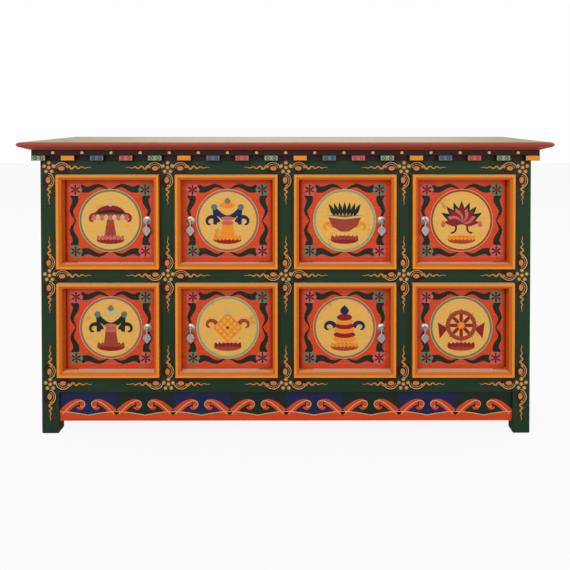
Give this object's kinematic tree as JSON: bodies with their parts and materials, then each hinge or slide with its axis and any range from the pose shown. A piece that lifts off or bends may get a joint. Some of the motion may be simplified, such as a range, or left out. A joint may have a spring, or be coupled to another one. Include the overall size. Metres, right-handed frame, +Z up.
{
  "type": "painted storage cabinet",
  "caption": "Low painted storage cabinet with two rows of small pivoting doors, hanging pulls, a dentil cornice and a thin overhanging top.",
  "frame": {"origin": "on the floor, in the middle of the width and depth", "axes": "+X along the front to the right, -Y out of the front, +Z up"},
  "size_m": [1.3, 0.4, 0.728],
  "materials": {
    "top_paint": "aged hand paint on wood",
    "maroon_paint": "aged hand paint on wood",
    "green_paint": "aged hand paint on wood",
    "yellow_paint": "aged hand paint on wood",
    "orange_paint": "aged hand paint on wood",
    "apron_paint": "aged hand paint on wood",
    "bare_wood": "dry bare wood",
    "pull_metal": "worn white metal"
  },
  "bodies": {
    "root": {"top_board": "top_paint", "cornice_front": "maroon_paint", "cornice_left": "maroon_paint", "cornice_right": "maroon_paint", "dentil_row_front": "maroon_paint", "dentil_row_left": "maroon_paint", "dentil_row_right": "maroon_paint", "front_post_left": "green_paint", "back_post_left": "green_paint", "side_rail_bottom_left": "green_paint", "side_rail_top_left": "green_paint", "side_panel_left": "orange_paint", "front_post_right": "green_paint", "back_post_right": "green_paint", "side_rail_bottom_right": "green_paint", "side_rail_top_right": "green_paint", "side_panel_right": "orange_paint", "front_rail_bottom": "green_paint", "front_rail_middle": "green_paint", "front_rail_top": "green_paint", "mullion_left": "green_paint", "mullion_centre": "green_paint", "mullion_right": "green_paint", "front_apron": "apron_paint", "back_panel": "bare_wood", "bottom_board": "bare_wood", "shelf": "bare_wood", "centre_partition": "bare_wood", "surround_upper_a": "yellow_paint", "surround_upper_b": "yellow_paint", "surround_upper_c": "yellow_paint", "surround_upper_d": "yellow_paint", "surround_lower_a": "yellow_paint", "surround_lower_b": "yellow_paint", "surround_lower_c": "yellow_paint", "surround_lower_d": "yellow_paint"},
    "door_upper_a": {"door_upper_a": "orange_paint", "pull_plate_upper_a": "pull_metal"},
    "pendant_upper_a": {"pull_pendant_upper_a": "pull_metal"},
    "door_upper_b": {"door_upper_b": "orange_paint", "pull_plate_upper_b": "pull_metal"},
    "pendant_upper_b": {"pull_pendant_upper_b": "pull_metal"},
    "door_upper_c": {"door_upper_c": "orange_paint", "pull_plate_upper_c": "pull_metal"},
    "pendant_upper_c": {"pull_pendant_upper_c": "pull_metal"},
    "door_upper_d": {"door_upper_d": "orange_paint", "pull_plate_upper_d": "pull_metal"},
    "pendant_upper_d": {"pull_pendant_upper_d": "pull_metal"},
    "door_lower_a": {"door_lower_a": "orange_paint", "pull_plate_lower_a": "pull_metal"},
    "pendant_lower_a": {"pull_pendant_lower_a": "pull_metal"},
    "door_lower_b": {"door_lower_b": "orange_paint", "pull_plate_lower_b": "pull_metal"},
    "pendant_lower_b": {"pull_pendant_lower_b": "pull_metal"},
    "door_lower_c": {"door_lower_c": "orange_paint", "pull_plate_lower_c": "pull_metal"},
    "pendant_lower_c": {"pull_pendant_lower_c": "pull_metal"},
    "door_lower_d": {"door_lower_d": "orange_paint", "pull_plate_lower_d": "pull_metal"},
    "pendant_lower_d": {"pull_pendant_lower_d": "pull_metal"}
  },
  "joints": [
    {"name": "door_upper_a_hinge", "type": "hinge", "parent": "root", "child": "door_upper_a", "pos_m": [-0.5437, -0.135, 0.5305], "axis": [0, 0, -1], "range_deg": [0, 90]},
    {"name": "pendant_upper_a_swing", "type": "hinge", "parent": "door_upper_a", "child": "pendant_upper_a", "pos_m": [-0.3468, -0.1503, 0.5305], "axis": [-1, 0, 0], "range_deg": [0, 35]},
    {"name": "door_upper_b_hinge", "type": "hinge", "parent": "root", "child": "door_upper_b", "pos_m": [-0.0413, -0.135, 0.5305], "axis": [0, 0, 1], "range_deg": [0, 90]},
    {"name": "pendant_upper_b_swing", "type": "hinge", "parent": "door_upper_b", "child": "pendant_upper_b", "pos_m": [-0.2382, -0.1503, 0.5305], "axis": [-1, 0, 0], "range_deg": [0, 35]},
    {"name": "door_upper_c_hinge", "type": "hinge", "parent": "root", "child": "door_upper_c", "pos_m": [0.0413, -0.135, 0.5305], "axis": [0, 0, -1], "range_deg": [0, 90]},
    {"name": "pendant_upper_c_swing", "type": "hinge", "parent": "door_upper_c", "child": "pendant_upper_c", "pos_m": [0.2382, -0.1503, 0.5305], "axis": [-1, 0, 0], "range_deg": [0, 35]},
    {"name": "door_upper_d_hinge", "type": "hinge", "parent": "root", "child": "door_upper_d", "pos_m": [0.5437, -0.135, 0.5305], "axis": [0, 0, 1], "range_deg": [0, 90]},
    {"name": "pendant_upper_d_swing", "type": "hinge", "parent": "door_upper_d", "child": "pendant_upper_d", "pos_m": [0.3468, -0.1503, 0.5305], "axis": [-1, 0, 0], "range_deg": [0, 35]},
    {"name": "door_lower_a_hinge", "type": "hinge", "parent": "root", "child": "door_lower_a", "pos_m": [-0.5437, -0.135, 0.2615], "axis": [0, 0, -1], "range_deg": [0, 90]},
    {"name": "pendant_lower_a_swing", "type": "hinge", "parent": "door_lower_a", "child": "pendant_lower_a", "pos_m": [-0.3468, -0.1503, 0.2615], "axis": [-1, 0, 0], "range_deg": [0, 35]},
    {"name": "door_lower_b_hinge", "type": "hinge", "parent": "root", "child": "door_lower_b", "pos_m": [-0.0413, -0.135, 0.2615], "axis": [0, 0, 1], "range_deg": [0, 90]},
    {"name": "pendant_lower_b_swing", "type": "hinge", "parent": "door_lower_b", "child": "pendant_lower_b", "pos_m": [-0.2382, -0.1503, 0.2615], "axis": [-1, 0, 0], "range_deg": [0, 35]},
    {"name": "door_lower_c_hinge", "type": "hinge", "parent": "root", "child": "door_lower_c", "pos_m": [0.0413, -0.135, 0.2615], "axis": [0, 0, -1], "range_deg": [0, 90]},
    {"name": "pendant_lower_c_swing", "type": "hinge", "parent": "door_lower_c", "child": "pendant_lower_c", "pos_m": [0.2382, -0.1503, 0.2615], "axis": [-1, 0, 0], "range_deg": [0, 35]},
    {"name": "door_lower_d_hinge", "type": "hinge", "parent": "root", "child": "door_lower_d", "pos_m": [0.5437, -0.135, 0.2615], "axis": [0, 0, 1], "range_deg": [0, 90]},
    {"name": "pendant_lower_d_swing", "type": "hinge", "parent": "door_lower_d", "child": "pendant_lower_d", "pos_m": [0.3468, -0.1503, 0.2615], "axis": [-1, 0, 0], "range_deg": [0, 35]}
  ]
}
